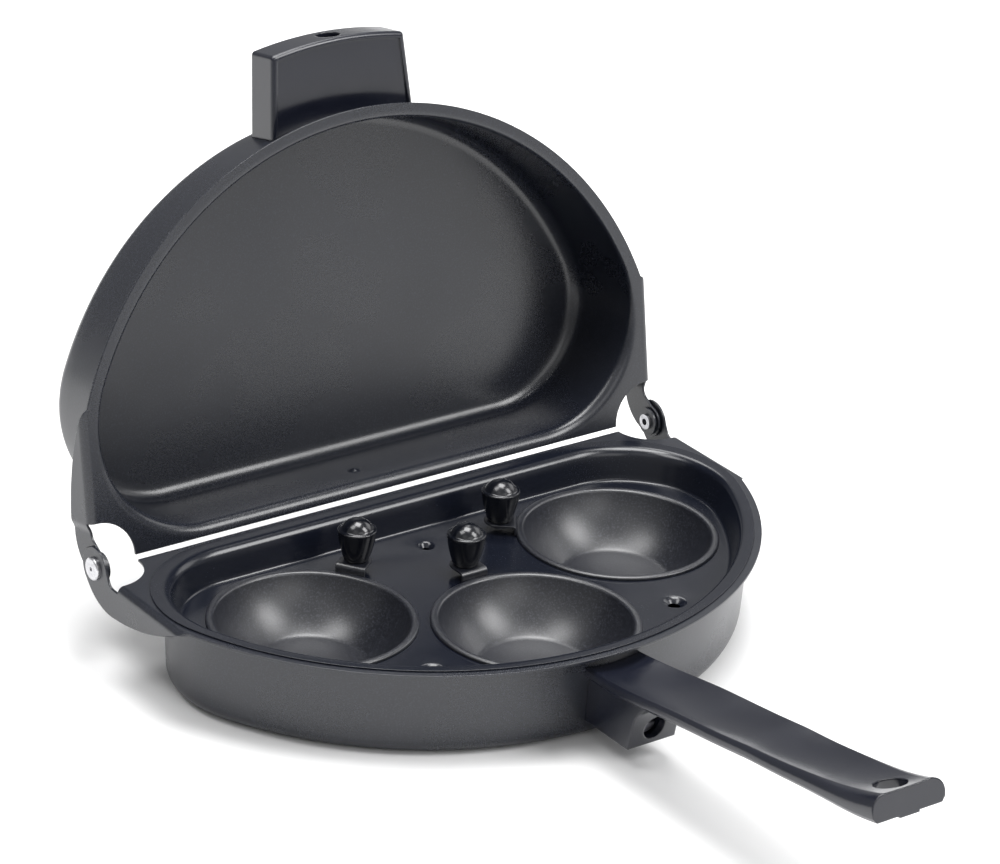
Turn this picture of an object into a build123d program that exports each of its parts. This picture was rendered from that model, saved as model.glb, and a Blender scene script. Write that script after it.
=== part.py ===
from build123d import *
import os
from math import asin, atan2, cos, degrees, radians, sin, sqrt, tan

# Folding egg poacher pan, lid open, in millimetres.
# Origin: on the flat underside, at the centre of the round rim. X runs along the hinge,
# -Y runs out along the long handle and Z is up. The lid shares the lower pan's
# coordinates, turned over about the hinge, so its pieces are drawn opening upwards too.

# Pressed halves, shared by the lower pan and the lid
sheet = 1.0
pan_depth = 34.0
opening_radius = 121.9
opening_back = 9.3
opening_corner = 41.5
wall_draft = 3.0
floor_bend = 5.5
rim_bend = 0.6
rim_width = 5.1
back_rim_width = 4.6
cutout_radius = 14.6

# Ears: the rim folded down at each end, running back into the hinge arms
ear_inset = 4.5
ear_bend = 2.6
skirt_middle = (-22.0, 8.8)
skirt_heel = (3.0, 13.3)
arm_heel = (12.6, 11.2)
arm_neck = 4.6
arm_fillet = 2.5
lower_arm_radius = 7.8
lid_arm_radius = 6.2
arm_gap = 0.3
arm_step_run = 4.0
arm_heel_angle = -45
arm_neck_angle = 165

# Hinge
hinge_setback = 0.7
closed_gap = 0.4
open_angle = 100
pin_radius = 2.0
pin_running_gap = 0.08
pin_tight_gap = 0.03
rivet_head_radius = 4.2
rivet_head_height = 1.4
rivet_dimple_radius = 0.8
rivet_dimple_depth = 0.5
rivet_flare_radius = 2.9
rivet_flare_height = 1.0
rivet_bore_radius = 1.3
rivet_bore_depth = 3.0
washer_radius = 5.2
washer_thickness = 0.8

# Pressed pip on the lid's straight wall
pip_x = 5.0
pip_depth = 12.0
pip_radius = 2.4
pip_height = 1.1

# Poacher tray that lies in the lower pan
tray_sheet = 0.6
tray_lap = 2.4
tray_lap_corner = 40.0
tray_inset = 2.5
tray_back_inset = 4.3
tray_corner = 36.0
tray_draft = 15.0
tray_drop = 11.7
tray_floor_bend = 1.4
tray_top_bend = 3.0
vent_points = [(1.0, -10.3), (51.5, -90.5), (-50.8, -88.3)]
vent_mouth_radius = 4.9
vent_hole_radius = 2.4
vent_drop = 1.8

# Egg cups: name, centre, and the way the tab points from there
side_cup_x = 66.3
side_cup_y = -37.8
middle_cup_y = -78.4
side_tab_angle = 35.5
cup_places = {
    "left": (-side_cup_x, side_cup_y, side_tab_angle),
    "middle": (0.0, middle_cup_y, 90.0),
    "right": (side_cup_x, side_cup_y, 180.0 - side_tab_angle),
}
cup_sheet = 0.8
cup_gap = 0.5
cup_bowl_radius = 34.2
cup_floor_radius = 20.0
cup_depth = 18.0
cup_lip_width = 2.8
cup_lip_thickness = 1.0
cup_lip_rounding = 0.4
tab_width = 11.0
tab_rise = 3.0
tab_length = 6.0

# Cup knobs and their screws
knob_base_radius = 4.4
knob_rim_radius = 7.0
knob_rim_height = 12.0
knob_rim_edge = 0.7
knob_shoulder_radius = 5.9
knob_shoulder_height = 12.3
knob_height = 16.3
knob_bulge = 0.35
knob_bore_radius = 1.6
knob_bore_depth = 7.5
knob_screw_radius = 1.5
knob_screw_reach = 7.0
knob_screw_head_radius = 3.0
knob_screw_head_height = 1.6
knob_slot_width = 0.8
knob_slot_depth = 0.7

# Studs and screws that hold the two handles
stud_radius = 5.0
stud_length = 10.0
stud_bore_depth = 8.0
stud_gap = 0.3
seat_gap = 0.05
screw_radius = 2.0
screw_bore_gap = 0.3
screw_tip_gap = 0.5
thread_gap = 0.05
screw_head_radius = 3.5
screw_head_height = 2.2
screw_slot_width = 1.0
screw_slot_depth = 1.0
well_radius = 4.4

# Long handle, measured out from the opening's edge and up from the rim: distance out,
# height of the crest, half-width there, half-width of the lower edge, its drop below the
# crest, bulge of the flank, dish of the top, rib below
handle_stations = [
    (-4.9, -5.7, 11.3, 11.8, 3.0, 0.3, 0.6, 5.0),
    (8.1, -4.6, 11.5, 12.3, 3.0, 0.4, 1.1, 5.0),
    (24.1, -2.7, 12.4, 13.3, 3.0, 0.5, 1.6, 5.0),
    (40.1, -0.1, 12.6, 13.6, 3.0, 0.5, 1.8, 5.0),
    (64.1, 3.2, 12.4, 13.6, 3.0, 0.5, 1.9, 4.8),
    (88.1, 6.8, 12.0, 13.6, 3.2, 0.6, 1.8, 4.4),
    (112.1, 10.2, 11.4, 13.7, 3.8, 0.8, 1.5, 3.4),
    (126.1, 12.7, 10.8, 14.0, 4.6, 1.2, 1.0, 2.4),
    (138.1, 15.4, 9.8, 14.4, 5.8, 1.9, 0.5, 1.4),
    (148.1, 18.7, 8.5, 14.7, 7.2, 2.7, 0.2, 0.8),
    (157.1, 22.2, 7.0, 14.9, 8.6, 3.2, 0.2, 0.8),
]
handle_edge_thickness = 1.7
handle_edge_inset = 1.4
handle_rib_half = 4.0
handle_end_top = (149.7, 19.2)
handle_end_bottom = (152.4, 9.5)
hang_hole_out = 141.8
hang_hole_radius = 5.6
root_block_half = 10.0
root_block_bottom = 7.7
root_block_front = 23.4
root_arch_foot = (25.1, -17.0)
root_arch_middle = (28.3, -10.4)
root_arch_end = (38.1, -5.0)
root_block_top = (38.1, -3.8)
root_block_start = (-5.9, -8.8)
handle_stud_height = 14.0
handle_screw_out = 18.2

# Lid grip, in the lid's coordinates, its length measured out from the opening's edge
grip_inner = 22.5
grip_outer = 9.0
grip_end_half = 28.0
grip_wall_half = 30.5
grip_length = 26.3
grip_crown = 2.6
grip_rounding = 1.5
grip_panel_border = 2.0
grip_panel_depth = 0.7
grip_overlap = 5.9
grip_stud_height = 15.7
grip_screw_out = 19.1

# Worked out from the sizes above
wall_slope = tan(radians(wall_draft))
rim_radius = opening_radius + rim_width
straight_edge = opening_back + back_rim_width
ear_half = rim_radius - ear_inset
fold_x = ear_half - ear_bend
fold_z = pan_depth - ear_bend
ear_front = -sqrt(rim_radius**2 - fold_x**2)
ear_back = straight_edge - cutout_radius
arm_step = sheet + arm_gap
pivot_y = straight_edge + hinge_setback
pivot_z = pan_depth + (tray_sheet + closed_gap) / 2
lid_turn = radians(open_angle)
lid_y_dir = Vector(0, cos(lid_turn), -sin(lid_turn))
lid_z_dir = Vector(0, -sin(lid_turn), -cos(lid_turn))
lid_frame = Plane(
    origin=Vector(0, pivot_y, pivot_z) - lid_y_dir * pivot_y - lid_z_dir * pivot_z,
    x_dir=(-1, 0, 0),
    z_dir=lid_z_dir,
)
opening = (opening_radius, opening_back, opening_corner)
tray_flange = (opening_radius + tray_lap, opening_back + tray_lap, tray_lap_corner)
tray_recess = (opening_radius - tray_inset, opening_back - tray_back_inset, tray_corner)
tray_top = pan_depth + tray_sheet
tray_floor = tray_top - tray_drop
cup_lip_top = tray_floor + cup_lip_thickness
tab_top = cup_lip_top + tab_rise
cup_lip_radius = cup_bowl_radius + cup_lip_width
tab_reach = cup_lip_radius + tab_length
bowl_rise = (cup_bowl_radius**2 - cup_floor_radius**2 - cup_depth**2) / (2 * cup_depth)
lid_arm_inner = ear_half - arm_step - sheet
handle_screw_seat = opening_radius + handle_screw_out
handle_screw_end = opening_radius + root_arch_end[0]
grip_end = -opening_radius - grip_length
grip_root = -opening_radius + grip_overlap
grip_screw_seat = opening_radius + grip_screw_out


class HalfMoon(BaseSketchObject):
    """Arc of a circle about the origin, closed by a straight back edge with round corners."""

    def __init__(self, radius, back, corner, grow=0.0, mode=Mode.ADD):
        reach_y = back - corner
        reach_x = sqrt((radius - corner) ** 2 - reach_y**2)
        turn = degrees(atan2(reach_y, reach_x))
        with BuildSketch() as outline:
            with BuildLine():
                CenterArc((0, 0), radius + grow, 180 - turn, 180 + 2 * turn)
                right = CenterArc((reach_x, reach_y), corner + grow, turn, 90 - turn)
                left = CenterArc((-reach_x, reach_y), corner + grow, 90, 90 - turn)
                Line(right @ 1, left @ 0)
            make_face()
        super().__init__(obj=outline.sketch, rotation=0, align=None, mode=mode)


class DraftedDish(BasePartObject):
    """Solid half-moon with drafted walls and a rounded floor edge, grown sideways evenly."""

    def __init__(self, outline, draft, floor, top, bend, grow=0.0, mode=Mode.ADD):
        foot = grow - (top - floor) * tan(radians(draft))
        with BuildPart() as dish:
            with BuildSketch(Plane.XY.offset(floor)):
                HalfMoon(*outline, foot)
            extrude(amount=top - floor, taper=-draft)
            fillet(dish.faces().sort_by(Axis.Z)[0].edges(), bend + grow)
        super().__init__(part=dish.part, rotation=(0, 0, 0), align=None, mode=mode)


class PanHull(BasePartObject):
    """The pan's drafted dish, down to a floor and grown by an even amount."""

    def __init__(self, grow=0.0, floor=0.0, mode=Mode.ADD):
        with BuildPart() as hull:
            DraftedDish(opening, wall_draft, floor, pan_depth, floor_bend, grow)
        super().__init__(part=hull.part, rotation=(0, 0, 0), align=None, mode=mode)


class EarSide(BaseSketchObject):
    """Ear seen from the side: the skirt's sweep under the rim and the round arm behind it."""

    def __init__(self, arm_radius, mode=Mode.ADD):
        pivot = Vector(pivot_y, pivot_z)
        with BuildSketch() as side:
            with BuildLine():
                arm = CenterArc(pivot, arm_radius, arm_heel_angle, arm_neck_angle - arm_heel_angle)
                heel = (skirt_heel[0], pan_depth - skirt_heel[1])
                front = ThreePointArc(
                    (ear_front, pan_depth), (skirt_middle[0], pan_depth - skirt_middle[1]), heel
                )
                ThreePointArc(heel, (arm_heel[0], pan_depth - arm_heel[1]), arm @ 0)
                Polyline(
                    arm @ 1, (arm_neck, fold_z), (ear_back, fold_z), (ear_back, pan_depth), front @ 0
                )
            make_face()
            fillet(side.vertices().sort_by_distance((arm_neck, fold_z))[0], arm_fillet)
        super().__init__(obj=side.sketch, rotation=0, align=None, mode=mode)


class HingeEar(BasePartObject):
    """Right-hand ear, from the fold at the rim's edge to the end of the hinge arm."""

    def __init__(self, arm_radius, step, bore_gap, mode=Mode.ADD):
        arm_end = pivot_y + arm_radius
        with BuildPart() as plate:
            with BuildSketch():
                with BuildLine():
                    Polyline(
                        (ear_half, ear_front),
                        (ear_half, ear_back),
                        (ear_half - step, ear_back + arm_step_run),
                        (ear_half - step, arm_end),
                        (ear_half - step - sheet, arm_end),
                        (ear_half - step - sheet, ear_back + arm_step_run),
                        (ear_half - sheet, ear_back),
                        (ear_half - sheet, ear_front),
                        close=True,
                    )
                make_face()
            extrude(amount=pivot_z + arm_radius)
            with BuildSketch(Plane.YZ):
                EarSide(arm_radius)
                with Locations((ear_back, fold_z)):
                    Rectangle(ear_half, ear_bend, align=(Align.MAX, Align.MIN), mode=Mode.SUBTRACT)
                with Locations((pivot_y, pivot_z)):
                    Circle(pin_radius + bore_gap, mode=Mode.SUBTRACT)
            extrude(amount=ear_half, mode=Mode.INTERSECT)
        with BuildPart() as fold:
            with BuildSketch(Plane.XZ.offset(-ear_back)):
                with BuildLine():
                    outer = CenterArc((fold_x, fold_z), ear_bend, 0, 90)
                    inner = CenterArc((fold_x, fold_z), ear_bend - sheet, 0, 90)
                    Line(outer @ 0, inner @ 0)
                    Line(outer @ 1, inner @ 1)
                make_face()
            extrude(amount=ear_back - ear_front)
            with BuildSketch(Plane.YZ):
                EarSide(arm_radius)
            extrude(amount=ear_half, mode=Mode.INTERSECT)
            add(plate.part)
        super().__init__(part=fold.part, rotation=(0, 0, 0), align=None, mode=mode)


class PressedHalf(BasePartObject):
    """One pressed half of the pan: drafted dish, flat rim, cut-outs and both ears."""

    def __init__(self, arm_radius, step, bore_gap, mode=Mode.ADD):
        rim_turn = degrees(asin(-ear_front / rim_radius))
        with BuildPart() as half:
            PanHull(sheet)
            with BuildSketch(Plane.XY.offset(pan_depth - sheet)):
                with BuildLine():
                    arc = CenterArc((0, 0), rim_radius, -rim_turn, 2 * rim_turn - 180)
                    Polyline(arc @ 1, (-fold_x, straight_edge), (fold_x, straight_edge), arc @ 0)
                make_face()
            extrude(amount=sheet)
            PanHull(0.0, sheet, mode=Mode.SUBTRACT)
            rim_top = half.faces().filter_by_position(Axis.Z, pan_depth, pan_depth)[0]
            fillet(rim_top.inner_wires()[0].edges(), rim_bend + sheet)
            rim_under = half.faces().filter_by_position(
                Axis.Z, pan_depth - sheet, pan_depth - sheet
            )[0]
            fillet(rim_under.inner_wires()[0].edges(), rim_bend)
            with BuildSketch(Plane.XY.offset(pan_depth)):
                with Locations((-fold_x, straight_edge), (fold_x, straight_edge)):
                    Circle(cutout_radius)
            extrude(amount=-2 * sheet, mode=Mode.SUBTRACT)
            ear = HingeEar(arm_radius, step, bore_gap)
            mirror(ear, about=Plane.YZ)
        super().__init__(part=half.part, rotation=(0, 0, 0), align=None, mode=mode)


class HandleSection(BaseSketchObject):
    """Section of the long handle: dished top, bulging flanks and a rib underneath."""

    def __init__(self, crest, crest_half, edge_half, drop, bulge, dish, rib, mode=Mode.ADD):
        edge = crest - drop
        under = edge - handle_edge_thickness
        flare = edge_half - crest_half
        slant = sqrt(flare**2 + drop**2)
        flank_x = (crest_half + edge_half) / 2 + bulge * drop / slant
        flank_z = (crest + edge) / 2 + bulge * flare / slant
        with BuildSketch() as section:
            with BuildLine():
                ThreePointArc((-crest_half, crest), (0, crest - dish), (crest_half, crest))
                ThreePointArc((crest_half, crest), (flank_x, flank_z), (edge_half, edge))
                Polyline(
                    (edge_half, edge),
                    (edge_half - handle_edge_inset, under),
                    (handle_rib_half, under),
                    (handle_rib_half, under - rib),
                    (-handle_rib_half, under - rib),
                    (-handle_rib_half, under),
                    (handle_edge_inset - edge_half, under),
                    (-edge_half, edge),
                )
                ThreePointArc((-edge_half, edge), (-flank_x, flank_z), (-crest_half, crest))
            make_face()
        super().__init__(obj=section.sketch, rotation=0, align=None, mode=mode)


class AxisDisc(BasePartObject):
    """Round bar along -Y at a height on the centre plane, from one distance out to another."""

    def __init__(self, height, start, end, radius, mode=Mode.ADD):
        with BuildPart() as bar:
            with BuildSketch(Plane.XZ.offset(start)):
                with Locations((0, height)):
                    Circle(radius)
            extrude(amount=end - start)
        super().__init__(part=bar.part, rotation=(0, 0, 0), align=None, mode=mode)


def from_rim(out, up):
    """Point on the centre plane, out past the opening's front edge and up from the rim."""
    return (-opening_radius - out, pan_depth + up)


def wall_reach(height):
    """Distance from the origin to the dish's outer wall at a height."""
    return opening_radius + sheet - wall_slope * (pan_depth - height)


class WallStud(BasePartObject):
    """Round boss welded to the wall, bored for a handle's screw."""

    def __init__(self, height, mode=Mode.ADD):
        wall = wall_reach(height)
        end = wall + stud_length
        with BuildPart() as stud:
            AxisDisc(height, wall - stud_radius, end, stud_radius)
            AxisDisc(height, end - stud_bore_depth, end, screw_radius + thread_gap, Mode.SUBTRACT)
            PanHull(sheet + seat_gap, mode=Mode.SUBTRACT)
        super().__init__(part=stud.part, rotation=(0, 0, 0), align=None, mode=mode)


class HandleScrew(BasePartObject):
    """Slotted screw that draws a handle against the wall."""

    def __init__(self, height, seat, mode=Mode.ADD):
        tip = wall_reach(height) + stud_length - stud_bore_depth + screw_tip_gap
        head_end = seat + screw_head_height
        with BuildPart() as screw:
            AxisDisc(height, tip, seat, screw_radius)
            AxisDisc(height, seat, head_end, screw_head_radius)
            with BuildSketch(Plane.XZ.offset(head_end)):
                with Locations((0, height)):
                    Rectangle(2 * screw_head_radius, screw_slot_width)
            extrude(amount=-screw_slot_depth, mode=Mode.SUBTRACT)
        super().__init__(part=screw.part, rotation=(0, 0, 0), align=None, mode=mode)


class HandleRoot(BasePartObject):
    """What a handle leaves open for the wall, its stud, the screw and the well behind it."""

    def __init__(self, height, seat, well_end, mode=Mode.SUBTRACT):
        wall = wall_reach(height)
        with BuildPart() as root:
            PanHull(sheet + seat_gap)
            AxisDisc(height, 0, wall + stud_length + stud_gap, stud_radius + stud_gap)
            AxisDisc(height, 0, seat, screw_radius + screw_bore_gap)
            AxisDisc(height, seat, well_end, well_radius)
        super().__init__(part=root.part, rotation=(0, 0, 0), align=None, mode=mode)


class PinDisc(BasePartObject):
    """Round disc about the right-hand hinge axis, from one X to another."""

    def __init__(self, start, end, radius, mode=Mode.ADD):
        with BuildPart() as disc:
            with BuildSketch(Plane.YZ.offset(start)):
                with Locations((pivot_y, pivot_z)):
                    Circle(radius)
            extrude(amount=end - start)
        super().__init__(part=disc.part, rotation=(0, 0, 0), align=None, mode=mode)


class EggCup(BasePartObject):
    """Shallow round cup on the Z axis, with a lip and a raised tab pointing along X."""

    def __init__(self, mode=Mode.ADD):
        centre = (0, cup_lip_top + bowl_rise)
        inner_top = degrees(atan2(-bowl_rise, cup_bowl_radius))
        inner_end = degrees(atan2(-bowl_rise - cup_depth, cup_floor_radius))
        inner_radius = sqrt(cup_bowl_radius**2 + bowl_rise**2)
        outer_radius = inner_radius + cup_sheet
        outer_top = degrees(asin(-(bowl_rise + cup_lip_thickness) / outer_radius))
        outer_end = degrees(asin(-(bowl_rise + cup_depth + cup_sheet) / outer_radius))
        tab_start = cup_lip_radius - cup_sheet
        with BuildPart() as cup:
            with BuildSketch(Plane.XZ) as profile:
                with BuildLine():
                    inner = CenterArc(centre, inner_radius, inner_top, inner_end - inner_top)
                    outer = CenterArc(centre, outer_radius, outer_top, outer_end - outer_top)
                    Polyline(
                        outer @ 0, (cup_lip_radius, tray_floor), (cup_lip_radius, cup_lip_top), inner @ 0
                    )
                    Polyline(
                        inner @ 1,
                        (0, cup_lip_top - cup_depth),
                        (0, cup_lip_top - cup_depth - cup_sheet),
                        outer @ 1,
                    )
                make_face()
                fillet(profile.vertices().group_by(Axis.X)[-1], cup_lip_rounding)
            revolve(axis=Axis.Z)
            with BuildSketch(Plane.XY.offset(tab_top)):
                with Locations((tab_start, 0)):
                    Rectangle(tab_reach - tab_start, tab_width, align=(Align.MIN, Align.CENTER))
                with Locations((tab_reach, 0)):
                    Circle(tab_width / 2)
                    Circle(knob_bore_radius, mode=Mode.SUBTRACT)
            extrude(amount=-cup_sheet)
            with BuildSketch(Plane.XY.offset(tab_top)):
                with Locations((tab_start, 0)):
                    Rectangle(cup_sheet, tab_width, align=(Align.MIN, Align.CENTER))
            extrude(amount=cup_lip_top - tab_top - cup_lip_thickness / 2)
        super().__init__(part=cup.part, rotation=(0, 0, 0), align=None, mode=mode)


class CupKnob(BasePartObject):
    """Flared knob with a sharp rim and a domed top, standing on the tab of a cup."""

    def __init__(self, mode=Mode.ADD):
        dome_rise = knob_height - knob_shoulder_height
        dome_radius = (knob_shoulder_radius**2 + dome_rise**2) / (2 * dome_rise)
        dome_start = degrees(asin((dome_radius - dome_rise) / dome_radius))
        rim_foot = knob_rim_height - knob_rim_edge
        waist = (knob_base_radius + knob_rim_radius) / 2 + knob_bulge
        with BuildPart() as knob:
            with BuildSketch(Plane.XZ):
                with BuildLine():
                    dome = CenterArc(
                        (0, knob_height - dome_radius), dome_radius, dome_start, 90 - dome_start
                    )
                    Polyline(
                        dome @ 0, (knob_rim_radius, knob_rim_height), (knob_rim_radius, rim_foot)
                    )
                    ThreePointArc(
                        (knob_rim_radius, rim_foot), (waist, rim_foot / 2), (knob_base_radius, 0)
                    )
                    Polyline((knob_base_radius, 0), (0, 0), dome @ 1)
                make_face()
            revolve(axis=Axis.Z)
            with BuildSketch():
                Circle(knob_bore_radius)
            extrude(amount=knob_bore_depth, mode=Mode.SUBTRACT)
        super().__init__(part=knob.part, rotation=(0, 0, 0), align=None, mode=mode)


class KnobScrew(BasePartObject):
    """Slotted screw from under the tab up into the knob, with the tab's top at zero."""

    def __init__(self, mode=Mode.ADD):
        head_bottom = -cup_sheet - knob_screw_head_height
        with BuildPart() as screw:
            with BuildSketch(Plane.XY.offset(head_bottom)):
                Circle(knob_screw_head_radius)
            extrude(amount=knob_screw_head_height)
            with BuildSketch(Plane.XY.offset(-cup_sheet)):
                Circle(knob_screw_radius)
            extrude(amount=cup_sheet + knob_screw_reach)
            with BuildSketch(Plane.XY.offset(head_bottom)):
                Rectangle(2 * knob_screw_head_radius, knob_slot_width)
            extrude(amount=knob_slot_depth, mode=Mode.SUBTRACT)
        super().__init__(part=screw.part, rotation=(0, 0, 0), align=None, mode=mode)


# Lower pan
with BuildPart() as lower_pan:
    PressedHalf(lower_arm_radius, 0.0, pin_tight_gap)
lower_pan.part.label = "lower_pan"

# Lid, the same pressing with its arms stepped inboard to pass inside the lower ones
with BuildPart(lid_frame) as upper_pan:
    PressedHalf(lid_arm_radius, arm_step, pin_running_gap)
    with Locations((pip_x, opening_back - wall_slope * pip_depth + sheet / 2, pan_depth - pip_depth)):
        Cone(
            pip_radius,
            pip_radius / 2,
            pip_height + sheet / 2,
            rotation=(90, 0, 0),
            align=(Align.CENTER, Align.CENTER, Align.MIN),
        )
upper_pan.part.label = "upper_pan"

# Hinge rivet, with its head outside the lower arm and its flare inside the washer
washer_outer = lid_arm_inner - arm_gap
washer_inner = washer_outer - washer_thickness
rivet_inner = washer_inner - rivet_flare_height
rivet_outer = ear_half + rivet_head_height
with BuildPart() as hinge_rivet_right:
    PinDisc(rivet_inner, ear_half, pin_radius)
    PinDisc(rivet_inner, washer_inner, rivet_flare_radius)
    PinDisc(ear_half, rivet_outer, rivet_head_radius)
    fillet(
        hinge_rivet_right.faces().sort_by(Axis.X)[-1].edges(), rivet_head_height / 2
    )
    PinDisc(rivet_outer - rivet_dimple_depth, rivet_outer, rivet_dimple_radius, Mode.SUBTRACT)
    PinDisc(rivet_inner, rivet_inner + rivet_bore_depth, rivet_bore_radius, Mode.SUBTRACT)
hinge_rivet_right.part.label = "hinge_rivet_right"
with BuildPart() as hinge_rivet_left:
    mirror(hinge_rivet_right.part, about=Plane.YZ)
hinge_rivet_left.part.label = "hinge_rivet_left"

# Hinge washer
with BuildPart() as hinge_washer_right:
    PinDisc(washer_inner, washer_outer, washer_radius)
    PinDisc(washer_inner, washer_outer, pin_radius + pin_tight_gap, Mode.SUBTRACT)
hinge_washer_right.part.label = "hinge_washer_right"
with BuildPart() as hinge_washer_left:
    mirror(hinge_washer_right.part, about=Plane.YZ)
hinge_washer_left.part.label = "hinge_washer_left"

# Long handle, its stud and its screw
end_top = Vector(0, *from_rim(*handle_end_top))
end_slant = Vector(0, *from_rim(*handle_end_bottom)) - end_top
end_plane = Plane(origin=end_top, x_dir=(1, 0, 0), z_dir=end_slant.cross(Vector(1, 0, 0)))
block_start = from_rim(*root_block_start)
arch_foot = from_rim(*root_arch_foot)
arch_end = from_rim(*root_arch_end)
with BuildPart() as long_handle:
    for out, up, *section in handle_stations:
        with BuildSketch(Plane.XZ.offset(opening_radius + out)):
            HandleSection(pan_depth + up, *section)
    loft()
    split(bisect_by=end_plane, keep=Keep.BOTTOM)
    with BuildSketch(Plane.YZ.offset(-root_block_half)):
        with BuildLine():
            Polyline(
                from_rim(*root_block_top),
                block_start,
                (block_start[0], root_block_bottom),
                (-opening_radius - root_block_front, root_block_bottom),
                arch_foot,
            )
            ThreePointArc(arch_foot, from_rim(*root_arch_middle), arch_end)
            Line(arch_end, from_rim(*root_block_top))
        make_face()
    extrude(amount=2 * root_block_half)
    with BuildSketch():
        with Locations((0, -opening_radius - hang_hole_out)):
            Circle(hang_hole_radius)
    extrude(amount=2 * end_top.Z, mode=Mode.SUBTRACT)
    HandleRoot(handle_stud_height, handle_screw_seat, handle_screw_end)
long_handle.part.label = "long_handle"
with BuildPart() as long_handle_stud:
    WallStud(handle_stud_height)
long_handle_stud.part.label = "long_handle_stud"
with BuildPart() as long_handle_screw:
    HandleScrew(handle_stud_height, handle_screw_seat)
long_handle_screw.part.label = "long_handle_screw"

# Lid grip, drawn in the lid's coordinates, then its stud and its screw
with BuildPart() as grip_block:
    with BuildSketch(Plane.XY.offset(grip_outer)):
        with BuildLine():
            Polyline(
                (-grip_end_half, grip_end),
                (-grip_wall_half, grip_root),
                (grip_wall_half, grip_root),
                (grip_end_half, grip_end),
            )
            ThreePointArc(
                (grip_end_half, grip_end), (0, grip_end - grip_crown), (-grip_end_half, grip_end)
            )
        make_face()
    extrude(amount=grip_inner - grip_outer)
    fillet(
        grip_block.edges().filter_by(Axis.Z).group_by(Axis.Y)[0]
        + grip_block.faces().sort_by(Axis.Z)[-1].edges(),
        grip_rounding,
    )
    with BuildSketch(Plane.XY.offset(grip_inner)):
        with BuildLine():
            Polyline(
                (grip_panel_border - grip_end_half, grip_end + grip_panel_border),
                (grip_panel_border - grip_wall_half, grip_root),
                (grip_wall_half - grip_panel_border, grip_root),
                (grip_end_half - grip_panel_border, grip_end + grip_panel_border),
            )
            ThreePointArc(
                (grip_end_half - grip_panel_border, grip_end + grip_panel_border),
                (0, grip_end - grip_crown + grip_panel_border),
                (grip_panel_border - grip_end_half, grip_end + grip_panel_border),
            )
        make_face()
    extrude(amount=-grip_panel_depth, mode=Mode.SUBTRACT)
    HandleRoot(grip_stud_height, grip_screw_seat, grip_crown - 2 * grip_end)
with BuildPart(lid_frame) as lid_grip:
    add(grip_block.part)
lid_grip.part.label = "lid_grip"
with BuildPart(lid_frame) as lid_grip_stud:
    WallStud(grip_stud_height)
lid_grip_stud.part.label = "lid_grip_stud"
with BuildPart(lid_frame) as lid_grip_screw:
    HandleScrew(grip_stud_height, grip_screw_seat)
lid_grip_screw.part.label = "lid_grip_screw"

# Poacher tray: flange on the rim, recess, cup holes and vents
with BuildPart() as poacher_tray:
    with BuildSketch(Plane.XY.offset(pan_depth)):
        HalfMoon(*tray_flange)
    extrude(amount=tray_sheet)
    DraftedDish(
        tray_recess, tray_draft, tray_floor - tray_sheet, tray_top, tray_floor_bend, tray_sheet
    )
    DraftedDish(
        tray_recess, tray_draft, tray_floor, tray_top, tray_floor_bend, 0.0, Mode.SUBTRACT
    )
    flange_top = poacher_tray.faces().filter_by_position(Axis.Z, tray_top, tray_top)[0]
    fillet(flange_top.inner_wires()[0].edges(), tray_top_bend)
    flange_under = poacher_tray.faces().filter_by_position(Axis.Z, pan_depth, pan_depth)[0]
    fillet(flange_under.inner_wires()[0].edges(), tray_top_bend - tray_sheet)
    with Locations([(x, y, tray_floor) for x, y in vent_points]):
        Cone(
            vent_hole_radius + tray_sheet,
            vent_mouth_radius + tray_sheet,
            vent_drop,
            align=(Align.CENTER, Align.CENTER, Align.MAX),
        )
        Cone(
            vent_hole_radius,
            vent_mouth_radius,
            vent_drop,
            align=(Align.CENTER, Align.CENTER, Align.MAX),
            mode=Mode.SUBTRACT,
        )
    with BuildSketch(Plane.XY.offset(tray_floor)):
        with Locations([(x, y) for x, y, turn in cup_places.values()]):
            Circle(cup_bowl_radius + cup_sheet + cup_gap)
    extrude(amount=-2 * tray_sheet, mode=Mode.SUBTRACT)
poacher_tray.part.label = "poacher_tray"

pieces = [
    lower_pan,
    upper_pan,
    hinge_rivet_left,
    hinge_rivet_right,
    hinge_washer_left,
    hinge_washer_right,
    long_handle,
    long_handle_stud,
    long_handle_screw,
    lid_grip,
    lid_grip_stud,
    lid_grip_screw,
    poacher_tray,
]

# Egg cups, each with its knob and screw, turned so that the tab points the right way
for cup_name, (cup_x, cup_y, tab_angle) in cup_places.items():
    tab_dir = (cos(radians(tab_angle)), sin(radians(tab_angle)), 0)
    cup_frame = Plane(origin=(cup_x, cup_y, 0), x_dir=tab_dir)
    knob_frame = Plane(
        origin=(cup_x + tab_reach * tab_dir[0], cup_y + tab_reach * tab_dir[1], tab_top), x_dir=tab_dir
    )
    with BuildPart(cup_frame) as egg_cup:
        EggCup()
    egg_cup.part.label = f"egg_cup_{cup_name}"
    with BuildPart(knob_frame) as cup_knob:
        CupKnob()
    cup_knob.part.label = f"cup_knob_{cup_name}"
    with BuildPart(knob_frame) as knob_screw:
        KnobScrew()
    knob_screw.part.label = f"knob_screw_{cup_name}"
    pieces += [egg_cup, cup_knob, knob_screw]

os.makedirs("parts", exist_ok=True)
for piece in pieces:
    export_step(piece.part, f"parts/{piece.part.label}.step")
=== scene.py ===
import math

import bmesh
import bpy
import numpy as np
from mathutils import Matrix, Vector
from mathutils.geometry import delaunay_2d_cdt


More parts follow.
